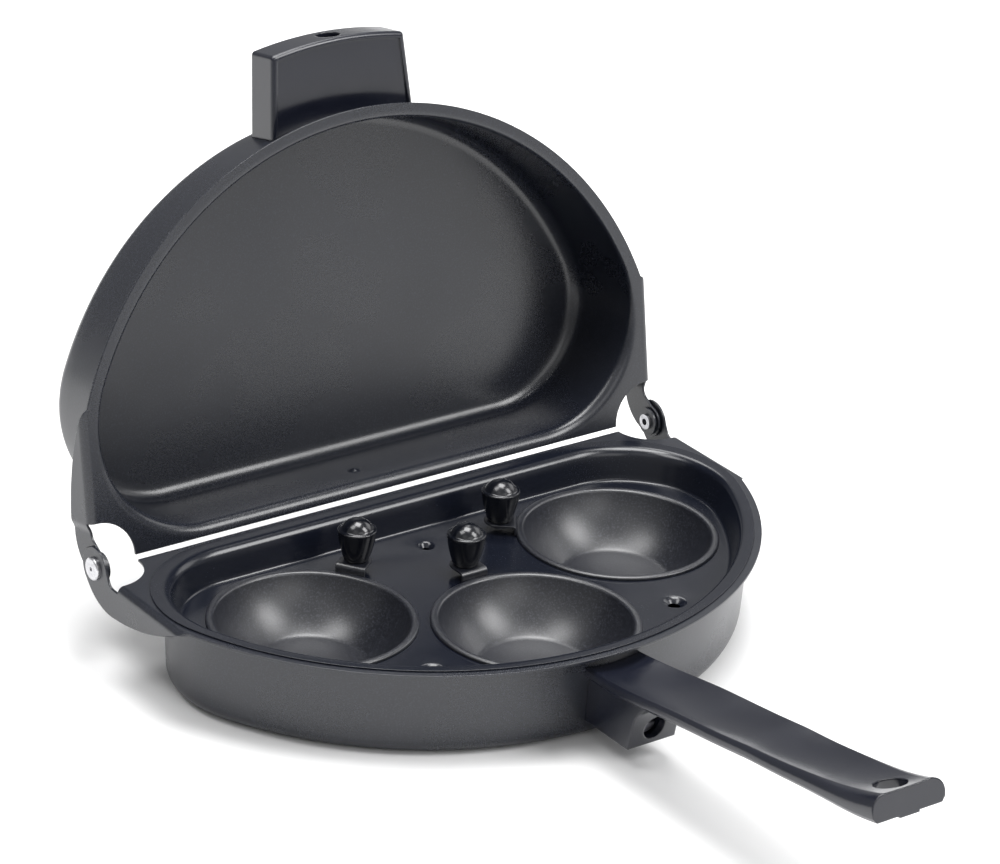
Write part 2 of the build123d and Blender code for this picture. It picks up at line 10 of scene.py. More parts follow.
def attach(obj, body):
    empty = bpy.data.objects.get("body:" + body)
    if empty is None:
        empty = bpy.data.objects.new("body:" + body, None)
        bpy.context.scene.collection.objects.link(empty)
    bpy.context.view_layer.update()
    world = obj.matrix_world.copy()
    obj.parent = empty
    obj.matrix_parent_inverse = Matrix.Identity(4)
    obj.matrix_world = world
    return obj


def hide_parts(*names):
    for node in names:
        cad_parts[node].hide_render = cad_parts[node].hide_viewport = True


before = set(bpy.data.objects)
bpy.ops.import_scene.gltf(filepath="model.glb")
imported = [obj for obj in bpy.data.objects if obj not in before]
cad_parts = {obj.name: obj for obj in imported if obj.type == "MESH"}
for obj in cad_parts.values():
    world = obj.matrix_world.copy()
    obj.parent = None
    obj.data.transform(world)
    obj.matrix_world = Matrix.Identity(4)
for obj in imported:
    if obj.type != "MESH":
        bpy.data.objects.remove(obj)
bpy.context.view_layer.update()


# colours and material nodes

def hexToLinear(code):
    # an sRGB hex colour as linear red, green, blue and full alpha
    channels = [int(code[i:i + 2], 16) / 255 for i in (1, 3, 5)]
    return [c / 12.92 if c <= 0.04045 else ((c + 0.055) / 1.055) ** 2.4 for c in channels] + [1.0]


def addNode(tree, kind, values=None, links=None, **settings):
    # one node with its settings, its socket values and what is linked into it; a socket goes by its number
    # where several share a name: a colour Mix has its factor at 0, its colours at 6 and 7, its result at 2
    node = tree.nodes.new(kind)
    for key, value in settings.items():
        setattr(node, key, value)
    for key, value in (values or {}).items():
        node.inputs[key].default_value = value
    for key, socket in (links or {}).items():
        tree.links.new(socket, node.inputs[key])
    return node


def startMaterial(name, shaderValues):
    # an empty node tree with its shader, its output and Object coordinates scaled to millimetres
    material = bpy.data.materials.new(name)
    material.use_nodes = True
    tree = material.node_tree
    tree.nodes.clear()
    shader = addNode(tree, "ShaderNodeBsdfPrincipled", shaderValues)
    addNode(tree, "ShaderNodeOutputMaterial", links={"Surface": shader.outputs[0]})
    place = addNode(tree, "ShaderNodeTexCoord")
    inMm = addNode(tree, "ShaderNodeMapping", {"Scale": (1000, 1000, 1000)},
                   {"Vector": place.outputs["Object"]})
    return material, tree, shader, inMm.outputs[0]


coatingDetail = {"fleckFrom": 0.5, "fleckTo": 0.72, "fleckDull": 0.06, "cloudFrom": 0.3, "cloudTo": 0.7,
                 "shinier": 0.03, "duller": 0.05, "pebbleHeight": 0.06}


def coatedSheet(name, finish):
    # Sprayed and baked non-stick coating on pressed sheet: a satin skin with a fine pebble in it,
    # pale flecks of filler, and slow cloudy changes of gloss from the spray gun.
    detail = coatingDetail
    material, tree, shader, place = startMaterial(name, {"IOR": finish["ior"]})
    fleck = addNode(tree, "ShaderNodeTexNoise", {"Scale": 1 / finish["fleckSize"], "Detail": 2.0},
                    {"Vector": place})
    fleckMask = addNode(tree, "ShaderNodeMapRange",
                        {"From Min": detail["fleckFrom"], "From Max": detail["fleckTo"]},
                        {"Value": fleck.outputs[0]})
    cloud = addNode(tree, "ShaderNodeTexNoise", {"Scale": 1 / finish["cloudSize"], "Detail": 3.0},
                    {"Vector": place})
    base = addNode(tree, "ShaderNodeMix",
                   {6: hexToLinear(finish["colour"]), 7: hexToLinear(finish["deepColour"])},
                   {0: cloud.outputs[0]}, data_type="RGBA")
    flecked = addNode(tree, "ShaderNodeMix", {7: hexToLinear(finish["fleckColour"])},
                      {0: fleckMask.outputs[0], 6: base.outputs[2]}, data_type="RGBA")
    tree.links.new(flecked.outputs[2], shader.inputs["Base Color"])
    gloss = addNode(tree, "ShaderNodeMapRange",
                    {"From Min": detail["cloudFrom"], "From Max": detail["cloudTo"],
                     "To Min": finish["roughness"] - detail["shinier"],
                     "To Max": finish["roughness"] + detail["duller"]}, {"Value": cloud.outputs[0]})
    dull = addNode(tree, "ShaderNodeMath", {1: detail["fleckDull"]},
                   {0: fleckMask.outputs[0], 2: gloss.outputs[0]}, operation="MULTIPLY_ADD")
    tree.links.new(dull.outputs[0], shader.inputs["Roughness"])
    pebble = addNode(tree, "ShaderNodeTexNoise", {"Scale": 1 / finish["pebbleSize"], "Detail": 3.0},
                     {"Vector": place})
    bump = addNode(tree, "ShaderNodeBump",
                   {"Strength": finish["pebble"], "Distance": detail["pebbleHeight"] / 1000},
                   {"Height": pebble.outputs[0]})
    tree.links.new(bump.outputs[0], shader.inputs["Normal"])
    return material


mouldingDetail = {"ior": 1.6, "swirl": 0.6, "flowFrom": 0.3, "flowTo": 0.7, "shinier": 0.04, "duller": 0.05,
                  "grainHeight": 0.05}


def mouldedPhenolic(name, finish):
    # Compression-moulded phenolic resin: dense dark plastic with soft flow mottling, a satin tool finish
    # rubbed a little shinier by hands, and edges rounded by tumbling off the flash.
    detail = mouldingDetail
    material, tree, shader, place = startMaterial(name, {"IOR": detail["ior"]})
    flow = addNode(tree, "ShaderNodeTexNoise",
                   {"Scale": 1 / finish["flowSize"], "Detail": 4.0, "Distortion": detail["swirl"]},
                   {"Vector": place})
    colour = addNode(tree, "ShaderNodeMix",
                     {6: hexToLinear(finish["colour"]), 7: hexToLinear(finish["paleColour"])},
                     {0: flow.outputs[0]}, data_type="RGBA")
    tree.links.new(colour.outputs[2], shader.inputs["Base Color"])
    gloss = addNode(tree, "ShaderNodeMapRange",
                    {"From Min": detail["flowFrom"], "From Max": detail["flowTo"],
                     "To Min": finish["roughness"] - detail["shinier"],
                     "To Max": finish["roughness"] + detail["duller"]}, {"Value": flow.outputs[0]})
    tree.links.new(gloss.outputs[0], shader.inputs["Roughness"])
    grain = addNode(tree, "ShaderNodeTexNoise", {"Scale": 1 / finish["grainSize"], "Detail": 3.0},
                    {"Vector": place})
    edge = addNode(tree, "ShaderNodeBevel", {"Radius": finish["edgeRadius"] / 1000}, samples=6)
    bump = addNode(tree, "ShaderNodeBump",
                   {"Strength": finish["grain"], "Distance": detail["grainHeight"] / 1000},
                   {"Height": grain.outputs[0], "Normal": edge.outputs[0]})
    tree.links.new(bump.outputs[0], shader.inputs["Normal"])
    return material


platingDetail = {"spotsFrom": 0.35, "spotsTo": 0.65, "shinier": 0.06, "duller": 0.1, "spots": 0.25,
                 "spotHeight": 0.04}


def platedSteel(name, finish):
    # Zinc-plated cold-headed steel: grey metal, bright on the rivets and darker on the screws, where the
    # darker grey is painted shade of heads sunk in their wells; small cloudy spots in the plating are a
    # little rougher and stand a little proud.
    detail = platingDetail
    material, tree, shader, place = startMaterial(name, {"Metallic": 1.0})
    spots = addNode(tree, "ShaderNodeTexNoise", {"Scale": 1 / finish["spotSize"], "Detail": 4.0},
                    {"Vector": place})
    colour = addNode(tree, "ShaderNodeMix",
                     {6: hexToLinear(finish["colour"]), 7: hexToLinear(finish["dullColour"])},
                     {0: spots.outputs[0]}, data_type="RGBA")
    tree.links.new(colour.outputs[2], shader.inputs["Base Color"])
    gloss = addNode(tree, "ShaderNodeMapRange",
                    {"From Min": detail["spotsFrom"], "From Max": detail["spotsTo"],
                     "To Min": finish["roughness"] - detail["shinier"],
                     "To Max": finish["roughness"] + detail["duller"]}, {"Value": spots.outputs[0]})
    tree.links.new(gloss.outputs[0], shader.inputs["Roughness"])
    bump = addNode(tree, "ShaderNodeBump",
                   {"Strength": detail["spots"], "Distance": detail["spotHeight"] / 1000},
                   {"Height": spots.outputs[0]})
    tree.links.new(bump.outputs[0], shader.inputs["Normal"])
    return material


panFinish = {"colour": "#181b24", "deepColour": "#13161e", "fleckColour": "#292c36", "ior": 1.6,
             "roughness": 0.27, "fleckSize": 0.55, "cloudSize": 60.0, "pebbleSize": 0.7, "pebble": 0.35}
trayFinish = {"colour": "#131620", "deepColour": "#10131b", "fleckColour": "#181c28", "ior": 1.55,
              "roughness": 0.19, "fleckSize": 0.5, "cloudSize": 45.0, "pebbleSize": 1.1, "pebble": 0.12}
cupFinish = {"colour": "#16181f", "deepColour": "#11131a", "fleckColour": "#34363f", "ior": 1.75,
             "roughness": 0.33, "fleckSize": 0.6, "cloudSize": 30.0, "pebbleSize": 0.8, "pebble": 0.45}
handleFinish = {"colour": "#141620", "paleColour": "#1a1d28", "roughness": 0.2, "flowSize": 22.0,
                "grainSize": 0.5, "grain": 0.15, "edgeRadius": 0.8}
knobFinish = {"colour": "#090b11", "paleColour": "#0e1119", "roughness": 0.2, "flowSize": 12.0,
              "grainSize": 0.9, "grain": 0.06, "edgeRadius": 0.3}
rivetFinish = {"colour": "#d8d8da", "dullColour": "#a9a9ad", "roughness": 0.3, "spotSize": 1.4}
# the screws' darker grey and darker spots are painted shade of heads sitting deep in their wells
screwFinish = {"colour": "#85858c", "dullColour": "#5c5c63", "roughness": 0.34, "spotSize": 1.1}

nonStickPan = coatedSheet("NonStickPan", panFinish)
nonStickTray = coatedSheet("NonStickTray", trayFinish)
nonStickCup = coatedSheet("NonStickCup", cupFinish)
phenolicHandle = mouldedPhenolic("PhenolicHandle", handleFinish)
phenolicKnob = mouldedPhenolic("PhenolicKnob", knobFinish)
zincSteel = platedSteel("ZincSteel", rivetFinish)
# the screws' steel is drawn darker than the rivets' as painted shade of their deep wells
shadedScrewSteel = platedSteel("ShadedScrewSteel", screwFinish)
print("materials made")

# the first word found in a CAD node's name gives its finish
nodeFinish = {"screw": shadedScrewSteel, "stud": zincSteel, "washer": nonStickPan, "rivet": zincSteel,
              "knob": phenolicKnob, "grip": phenolicHandle, "handle": phenolicHandle,
              "egg": nonStickCup, "tray": nonStickTray, "pan": nonStickPan}
for nodeName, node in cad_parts.items():
    word = next(w for w in nodeFinish if w in nodeName)
    node.data.materials.clear()
    node.data.materials.append(nodeFinish[word])
print("finishes put on", len(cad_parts), "CAD nodes")


# curves, and surfaces on grids

def gridFaces(rows, columns, closed):
    # quads of a grid numbered row by row, joined round its columns when closed
    r, c = np.meshgrid(np.arange(rows - 1), np.arange(columns if closed else columns - 1), indexing="ij")
    a = r * columns + c
    b = r * columns + (c + 1) % columns
    return np.stack([a, b, b + columns, a + columns], -1).reshape(-1, 4)


def grid(points, closed=False):
    # a (rows, columns, 3) array as one part: its points and its quads
    return points.reshape(-1, 3), gridFaces(points.shape[0], points.shape[1], closed)


def movedParts(parts, move):
    # the same parts with their points moved by a function
    return [(move(points), faces) for points, faces in parts]


def joinParts(parts):
    # several parts as one list of points and one list of faces, each part counting on from the last
    points, faces, count = [], [], 0
    for part, quads in parts:
        points.append(part)
        faces += (np.asarray(quads) + count).tolist()
        count += len(part)
    return np.concatenate(points), faces


def smoothStep(t):
    # 0 before 0, 1 after 1, and 3t squared less 2t cubed between
    t = np.clip(t, 0, 1)
    return t * t * (3 - 2 * t)


def arcPoints(centreX, centreY, radius, start, end, count):
    # points along an arc, the centre plus the radius times the cosine and sine of evenly spaced angles
    angle = np.radians(np.linspace(start, end, count))
    return np.stack([centreX + radius * np.cos(angle), centreY + radius * np.sin(angle)], -1)


def curveThrough(start, pull, end, count):
    # quadratic curve from start to end, drawn towards pull
    t = np.linspace(0, 1, count)[:, None]
    return (1 - t) ** 2 * np.array(start) + 2 * t * (1 - t) * np.array(pull) + t ** 2 * np.array(end)


def circleThrough(p, q, r):
    # centre and radius of the circle through three points of a plane, from the lines that are as far from
    # p as from q, and from p as from r
    lines = np.array([[q[0] - p[0], q[1] - p[1]], [r[0] - p[0], r[1] - p[1]]])
    squares = [point[0] ** 2 + point[1] ** 2 for point in (p, q, r)]
    centre = np.linalg.solve(lines, np.array([squares[1] - squares[0], squares[2] - squares[0]]) / 2)
    return centre, math.hypot(p[0] - centre[0], p[1] - centre[1])


def level(run, height):
    # points of a profile that all lie at one height
    return np.stack([run, np.full_like(run, height)], -1)


def spun(profile, segments):
    # a profile of radius and height carried round the Z axis
    turn = np.linspace(0, 2 * math.pi, segments, endpoint=False)
    r, z = profile[:, :1], profile[:, 1:]
    return np.stack([r * np.cos(turn), r * np.sin(turn), z + 0 * turn], -1)


meshDetail = {"mergeWithin": 0.02, "sliverUnder": 0.005, "edgeSteps": 2, "sharpAngle": 40}


def buildPiece(name, parts, material, body, replaced, sheet=0.0, softEdge=0.0, up=None):
    # the parts welded into one mesh in metres, thickened from the seen side and with its edges broken;
    # up is the way that the seen side of an open sheet mostly faces
    points, faces = joinParts(parts)
    mesh = bpy.data.meshes.new(name)
    mesh.from_pydata((points / 1000).tolist(), [], faces)
    work = bmesh.new()
    work.from_mesh(mesh)
    bmesh.ops.remove_doubles(work, verts=work.verts, dist=meshDetail["mergeWithin"] / 1000)
    bmesh.ops.dissolve_degenerate(work, edges=work.edges, dist=meshDetail["sliverUnder"] / 1000)
    bmesh.ops.recalc_face_normals(work, faces=work.faces)
    if up is not None and sum(face.normal.dot(Vector(up)) * face.calc_area() for face in work.faces) < 0:
        bmesh.ops.reverse_faces(work, faces=work.faces)
    work.to_mesh(mesh)
    work.free()
    mesh.shade_smooth()
    mesh.materials.append(material)
    piece = bpy.data.objects.new(name, mesh)
    bpy.context.scene.collection.objects.link(piece)
    if sheet:
        wall = piece.modifiers.new("Sheet", "SOLIDIFY")
        wall.thickness = sheet / 1000
        wall.offset = -1
        wall.use_even_offset = True
    if softEdge:
        edge = piece.modifiers.new("SoftEdge", "BEVEL")
        edge.width = softEdge / 1000
        edge.segments = meshDetail["edgeSteps"]
        edge.limit_method = "ANGLE"
        edge.angle_limit = math.radians(meshDetail["sharpAngle"])
        edge.harden_normals = True
        edge.use_clamp_overlap = False
    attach(piece, body)
    if replaced:
        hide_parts(*replaced)
    print("made", name, len(mesh.vertices), "points")


# half-moons: one big arc, a flat back edge and a round corner at each end of it

def cornerCentre(radius, back, corner):
    # a corner's arc touches the flat back and touches the big arc from inside
    cornerY = back - corner
    return math.sqrt((radius - corner) ** 2 - cornerY ** 2), cornerY


def nearestOnHalfMoon(x, y, radius, back, corner):
    # the half-moon's nearest point to each given point, and its outward direction there: straight out from
    # the big arc's centre, out from a corner arc's centre, or straight back from the flat edge
    cornerX, cornerY = cornerCentre(radius, back, corner)
    swing = np.arctan2(y, np.abs(x))
    onArc = swing < math.atan2(cornerY, cornerX)
    onBack = (np.abs(x) < cornerX) & (y > cornerY)
    angle = np.where(onArc, swing, np.arctan2(y - cornerY, np.abs(x) - cornerX))
    angle = np.where(onBack, math.pi / 2, angle)
    outX, outY = np.cos(angle), np.sin(angle)
    baseX = np.where(onBack, np.abs(x), np.where(onArc, radius * outX, cornerX + corner * outX))
    baseY = np.where(onArc, radius * outY, cornerY + corner * outY)
    mirrorX = np.where(x < 0, -1.0, 1.0)
    return baseX * mirrorX, baseY, outX * mirrorX, outY


def halfMoonLoop(radius, back, corner, arcCount, cornerCount, backCount):
    # points round a half-moon: big arc, right corner, flat back, left corner
    cornerX, cornerY = cornerCentre(radius, back, corner)
    turn = math.atan2(cornerY, cornerX)
    arc = np.linspace(math.pi - turn, 2 * math.pi + turn, arcCount, endpoint=False)
    right = np.linspace(turn, math.pi / 2, cornerCount, endpoint=False)
    flat = np.linspace(cornerX, -cornerX, backCount, endpoint=False)
    left = np.linspace(math.pi / 2, math.pi - turn, cornerCount, endpoint=False)
    x = np.concatenate([radius * np.cos(arc), cornerX + corner * np.cos(right), flat,
                        corner * np.cos(left) - cornerX])
    y = np.concatenate([radius * np.sin(arc), cornerY + corner * np.sin(right), np.full(backCount, back),
                        cornerY + corner * np.sin(left)])
    return x, y


bendEase = {"from": -0.15, "run": 0.8}


def backShare(outY):
    # 0 where a half-moon faces forwards, 1 along its back edge, easing from one to the other in its corners
    return smoothStep((outY - bendEase["from"]) / bendEase["run"])


def wallRows(draft, floor, top, floorBend, rimBend, bendSteps=9, wallSteps=4):
    # offsets from the outline and heights up a drafted wall: an arc of floorBend turns the floor up into
    # the wall, and an arc of rimBend turns the wall over into the rim; rimBend has one value per column
    lean = math.radians(draft)
    bendRun = math.tan((math.pi / 2 - lean) / 2)  # from a bend's corner to where it starts, in bend radii
    foot = -(top - floor) * math.tan(lean)
    turn = np.linspace(0, math.pi / 2 - lean, bendSteps)[:, None]
    one = np.ones_like(rimBend)[None, :]
    lowOut = (foot - floorBend * bendRun + floorBend * np.sin(turn)) * one
    lowUp = (floor + floorBend * (1 - np.cos(turn))) * one
    swing = np.linspace(lean, math.pi / 2, bendSteps)[:, None]
    highOut = rimBend * (bendRun - np.cos(swing))
    highUp = top - rimBend * (1 - np.sin(swing))
    share = np.linspace(0, 1, wallSteps + 2)[1:-1, None]
    midOut = lowOut[-1] + (highOut[0] - lowOut[-1]) * share
    midUp = lowUp[-1] + (highUp[0] - lowUp[-1]) * share
    return np.concatenate([lowOut, midOut, highOut]), np.concatenate([lowUp, midUp, highUp])


# pressed halves: the lower pan and the lid

halfSize = {
    "radius": 121.9, "back": 9.3, "corner": 41.5, "depth": 34.0,  # the opening and how deep it is
    "sheet": 1.0, "gauge": 0.98,  # drawn a hair thinner than the sheet, to stay inside the CAD's box
    "draft": 3.0, "floorBend": 5.5, "frontRimBend": 1.6, "backRimBend": 4.2, "floorMiddle": -0.4,
    "rimWidth": 5.1, "backRimWidth": 4.6, "cutout": 14.6,
    "earInset": 4.5, "earBend": 2.6,
    "skirtMiddle": (-22.0, 8.8), "skirtHeel": (3.0, 13.3), "armHeel": (12.6, 11.2),  # back, and below the rim
    "armNeck": 4.6, "neckRound": 2.2, "armStepRun": 4.0,
    "armFootAngle": -45, "armTipAngle": 60, "armNeckAngle": 165,  # round the rivet, from straight back
    "pivotSetback": 0.7, "pivotRise": 0.5, "lidTurn": 100, "softEdge": 0.22,
}
lowerArm = {"radius": 7.8, "step": 0.0}
lidArm = {"radius": 6.2, "step": 1.3}
# an arm's upper and lower edge have the same number of points: armHeel + 1 = neck + neckRun
halfPoints = {"arc": 260, "fold": 46, "bite": 30, "back": 130, "ear": 9,
              "armRun": 7, "armHeel": 12, "neck": 8, "neckRun": 5, "armTip": 22,
              "floorRings": (0.04, 0.25, 0.45, 0.65, 0.8, 0.9, 0.96, 0.99), "rimRings": (0.3, 0.65, 0.9, 1.0)}
rimRadius = halfSize["radius"] + halfSize["rimWidth"]
straightEdge = halfSize["back"] + halfSize["backRimWidth"]
earHalf = rimRadius - halfSize["earInset"]
foldX, foldZ = earHalf - halfSize["earBend"], halfSize["depth"] - halfSize["earBend"]
earFront, earBack = -math.sqrt(rimRadius ** 2 - foldX ** 2), straightEdge - halfSize["cutout"]
pivotY, pivotZ = straightEdge + halfSize["pivotSetback"], halfSize["depth"] + halfSize["pivotRise"]


def lidPlace(points):
    # the lid is drawn like the lower pan, turned over about the hinge and swung open
    turn = math.radians(halfSize["lidTurn"])
    x, y, z = points[..., 0], points[..., 1] - pivotY, points[..., 2] - pivotZ
    return np.stack([-x, pivotY + y * math.cos(turn) - z * math.sin(turn),
                     pivotZ - y * math.sin(turn) - z * math.cos(turn)], -1)


def rimBoundary():
    # round the rim's edge: front arc, left fold, left cut-out, back edge, right cut-out, right fold
    cutout = halfSize["cutout"]
    frontTurn = math.asin(-earFront / rimRadius)
    arc = np.linspace(-frontTurn, frontTurn - math.pi, halfPoints["arc"], endpoint=False)
    fold = np.linspace(earFront, earBack, halfPoints["fold"])
    bite = np.linspace(-math.pi / 2, 0, halfPoints["bite"])[1:-1]
    biteX, biteY = cutout * np.cos(bite) - foldX, straightEdge + cutout * np.sin(bite)
    backX = np.linspace(cutout - foldX, foldX - cutout, halfPoints["back"])
    x = np.concatenate([rimRadius * np.cos(arc), np.full_like(fold, -foldX), biteX, backX,
                        -biteX[::-1], np.full_like(fold[1:], foldX)])
    y = np.concatenate([rimRadius * np.sin(arc), fold, biteY, np.full_like(backX, straightEdge),
                        biteY[::-1], fold[:0:-1]])
    return x, y, fold


def pressedShell(edgeX, edgeY):
    # floor scaled in from the bend's foot, wall rows offset along the half-moon's directions, then the rim
    # ruled out to its edge
    baseX, baseY, outX, outY = nearestOnHalfMoon(edgeX, edgeY, halfSize["radius"], halfSize["back"],
                                                 halfSize["corner"])
    frontBend, backBend = halfSize["frontRimBend"], halfSize["backRimBend"]
    rimBend = frontBend + (backBend - frontBend) * backShare(outY)
    out, height = wallRows(halfSize["draft"], halfSize["sheet"], halfSize["depth"], halfSize["floorBend"],
                           rimBend)
    wall = np.stack([baseX + out * outX, baseY + out * outY, height], -1)
    middle = np.array([0.0, halfSize["floorMiddle"] * halfSize["radius"], halfSize["sheet"]])
    floor = middle + (wall[0] - middle) * np.array(halfPoints["floorRings"])[:, None, None]
    edge = np.stack([edgeX, edgeY, np.full_like(edgeX, halfSize["depth"])], -1)
    rim = wall[-1] + (edge - wall[-1]) * np.array(halfPoints["rimRings"])[:, None, None]
    return [grid(np.concatenate([floor, wall, rim]), closed=True), (floor[0], [list(range(len(edgeX)))])]


def belowRim(place):
    # from how far back and how far below the rim to how far back and how high
    return place[0], halfSize["depth"] - place[1]


def hemHeight(y):
    # the hem is the arc through the front of the ear, the skirt's middle and its heel
    centre, radius = circleThrough((earFront, halfSize["depth"]), belowRim(halfSize["skirtMiddle"]),
                                   belowRim(halfSize["skirtHeel"]))
    return centre[1] - np.sqrt(radius ** 2 - (y - centre[0]) ** 2)


def earSkirt(fold):
    # each column goes over the fold's arc, as far as its hem allows, and straight down to the hem
    bend, hem = halfSize["earBend"], hemHeight(fold)
    down = np.linspace(0, 1, halfPoints["ear"])[:, None]
    turn = np.arccos(np.clip((hem - foldZ) / bend, 0, 1)) * down
    over = np.stack([foldX + bend * np.sin(turn), np.broadcast_to(fold, turn.shape),
                     foldZ + bend * np.cos(turn)], -1)
    drop = foldZ - down * np.maximum(foldZ - hem, 0)
    skirt = np.stack([over[-1, :, 0] + 0 * drop, np.broadcast_to(fold, drop.shape),
                      np.where(hem < foldZ, drop, hem)], -1)
    return over, skirt


def hingeArm(armRadius, armStep):
    # ruled from its top edge to its bottom edge, which both end at the arc round the rivet, and stepped
    # inboard as it leaves the ear
    footAngle, tipAngle, neckAngle = (halfSize[k] for k in ("armFootAngle", "armTipAngle", "armNeckAngle"))
    tipLow = arcPoints(pivotY, pivotZ, armRadius, footAngle, tipAngle, halfPoints["armTip"])
    tipHigh = arcPoints(pivotY, pivotZ, armRadius, neckAngle, tipAngle, halfPoints["armTip"])
    heel = belowRim(halfSize["skirtHeel"])
    hemBack = np.linspace(earBack, heel[0], halfPoints["armRun"])
    bend, bendRadius = circleThrough(heel, belowRim(halfSize["armHeel"]), tipLow[0])
    first, last = (math.degrees(math.atan2(p[1] - bend[1], p[0] - bend[0])) for p in (heel, tipLow[0]))
    underHeel = arcPoints(bend[0], bend[1], bendRadius, first, last, halfPoints["armHeel"])
    low = np.concatenate([np.stack([hemBack, hemHeight(hemBack)], -1), underHeel[1:], tipLow[1:]])
    neck = np.array([halfSize["armNeck"], foldZ])
    before = neck - (halfSize["neckRound"], 0)
    after = neck + (tipHigh[0] - neck) * halfSize["neckRound"] / np.linalg.norm(tipHigh[0] - neck)
    high = np.concatenate([np.linspace((earBack, foldZ), before, halfPoints["armRun"]),
                           curveThrough(before, neck, after, halfPoints["neck"])[1:],
                           np.linspace(after, tipHigh[0], halfPoints["neckRun"])[1:], tipHigh[1:]])
    across = high + (low - high) * np.linspace(0, 1, halfPoints["ear"])[:, None, None]
    inboard = armStep * smoothStep((across[..., 0] - earBack) / halfSize["armStepRun"])
    return np.stack([earHalf - inboard, across[..., 0], across[..., 1]], -1)


def pressedHalf(arm):
    # the shell, then an ear with its skirt and hinge arm on each side, one the mirror of the other
    edgeX, edgeY, fold = rimBoundary()
    over, skirt = earSkirt(fold)
    side = (over, skirt, hingeArm(arm["radius"], arm["step"]))
    return pressedShell(edgeX, edgeY) + [grid(part * (flip, 1, 1)) for flip in (1, -1) for part in side]


lidUp = tuple(lidPlace(np.array([0.0, 0, 1])) - lidPlace(np.zeros(3)))
buildPiece("LowerPanPressing", pressedHalf(lowerArm), nonStickPan, "pan", ["lower_pan"],
           halfSize["gauge"], halfSize["softEdge"], up=(0, 0, 1))
buildPiece("LidPressing", movedParts(pressedHalf(lidArm), lidPlace), nonStickPan, "lid",
           ["upper_pan"], halfSize["gauge"], halfSize["softEdge"], up=lidUp)

pipSize = {"x": 5.0, "belowRim": 12.0, "radius": 2.8, "height": 1.1, "edgeSunk": 0.02, "sunk": 0.3,
           "rings": 12, "around": 32}


def lidPip():
    # a dome on the straight wall whose height falls with the cosine of the way out, closed inside the sheet
    lean = math.radians(halfSize["draft"])
    share = np.linspace(0, 1, pipSize["rings"])
    dome = pipSize["height"] * (1 + np.cos(math.pi * share)) / 2 - pipSize["edgeSunk"]
    profile = np.concatenate([np.stack([pipSize["radius"] * share, dome], -1),
                              [(pipSize["radius"], -pipSize["sunk"]), (0.0, -pipSize["sunk"])]])
    pip = spun(profile, pipSize["around"])
    across, along, proud = pip[..., 0], pip[..., 1], pip[..., 2]
    wallY = halfSize["back"] - pipSize["belowRim"] * math.tan(lean)
    wallZ = halfSize["depth"] - pipSize["belowRim"]
    y = wallY + along * math.sin(lean) - proud * math.cos(lean)
    z = wallZ + along * math.cos(lean) + proud * math.sin(lean)
    return [grid(lidPlace(np.stack([pipSize["x"] + across, y, z], -1)), closed=True)]


buildPiece("LidPip", lidPip(), nonStickPan, "lid", [])


# poacher tray

traySize = {
    "radius": 119.4, "back": 5.0, "corner": 36.0,  # the recess
    "flangeRadius": 124.3, "flangeBack": 11.7, "flangeCorner": 40.0,
    "draft": 15.0, "sheet": 0.6, "top": 34.6, "floor": 22.9, "floorBend": 1.4, "frontTopBend": 3.0,
    "backTopBend": 4.0, "holeRadius": 35.5, "softEdge": 0.15,
    "support": 0.5, "collar": 0.4,  # strips of quads beside the wall and round the holes
    "ventMouth": 4.9, "ventHole": 2.1, "ventDrop": 1.8,
    "vents": ((1.0, -10.3, 0.75), (51.5, -90.5, 1.0), (-50.8, -88.3, 1.0)),  # x, y and share of that size
}
trayPoints = {"arc": 260, "corner": 40, "back": 90, "rimRings": (0.35, 0.75, 1.0), "hole": 96, "vent": 32,
              "ventRings": 9, "closeTo": 0.01, "sameWithin": 0.00001}
# each cup's place: x, y and the way that its tab points
cupPlaces = {"left": (-66.3, -37.8, 35.5), "middle": (0.0, -78.4, 90.0), "right": (66.3, -37.8, 144.5)}


def ventRings(x, y, share):
    # a bell mouth: the height falls with the square of how far in from the mouth, down to the hole
    turn = np.linspace(0, 2 * math.pi, trayPoints["vent"], endpoint=False)
    inward = np.linspace(0, 1, trayPoints["ventRings"])[:, None]
    r = share * (traySize["ventMouth"] + (traySize["ventHole"] - traySize["ventMouth"]) * inward)
    z = traySize["floor"] - traySize["ventDrop"] * smoothStep(inward * 0.5) * 2
    return np.stack([x + r * np.cos(turn), y + r * np.sin(turn), z + 0 * turn], -1)


def trayShell():
    # flange ruled in from its own half-moon to the recess, the drafted wall, and a strip along its foot
    edgeX, edgeY = halfMoonLoop(traySize["flangeRadius"], traySize["flangeBack"], traySize["flangeCorner"],
                                trayPoints["arc"], trayPoints["corner"], trayPoints["back"])
    baseX, baseY, outX, outY = nearestOnHalfMoon(edgeX, edgeY, traySize["radius"], traySize["back"],
                                                 traySize["corner"])
    frontBend, backBend = traySize["frontTopBend"], traySize["backTopBend"]
    topBend = frontBend + (backBend - frontBend) * backShare(outY)
    out, height = wallRows(traySize["draft"], traySize["floor"], traySize["top"], traySize["floorBend"],
                           topBend)
    wall = np.stack([baseX + out * outX, baseY + out * outY, height], -1)
    inset = out[0] - traySize["support"]
    support = np.stack([baseX + inset * outX, baseY + inset * outY, height[0]], -1)
    edge = np.stack([edgeX, edgeY, np.full_like(edgeX, traySize["top"])], -1)
    rim = wall[-1] + (edge - wall[-1]) * np.array(trayPoints["rimRings"])[:, None, None]
    return np.concatenate([support[None], wall, rim])


def holeCollar(x, y):
    # a narrow flat ring round a cup's hole, from its edge out
    turn = np.linspace(0, 2 * math.pi, trayPoints["hole"], endpoint=False)
    r = np.array([traySize["holeRadius"], traySize["holeRadius"] + traySize["collar"]])[:, None]
    return np.stack([x + r * np.cos(turn), y + r * np.sin(turn), traySize["floor"] + 0 * r * turn], -1)


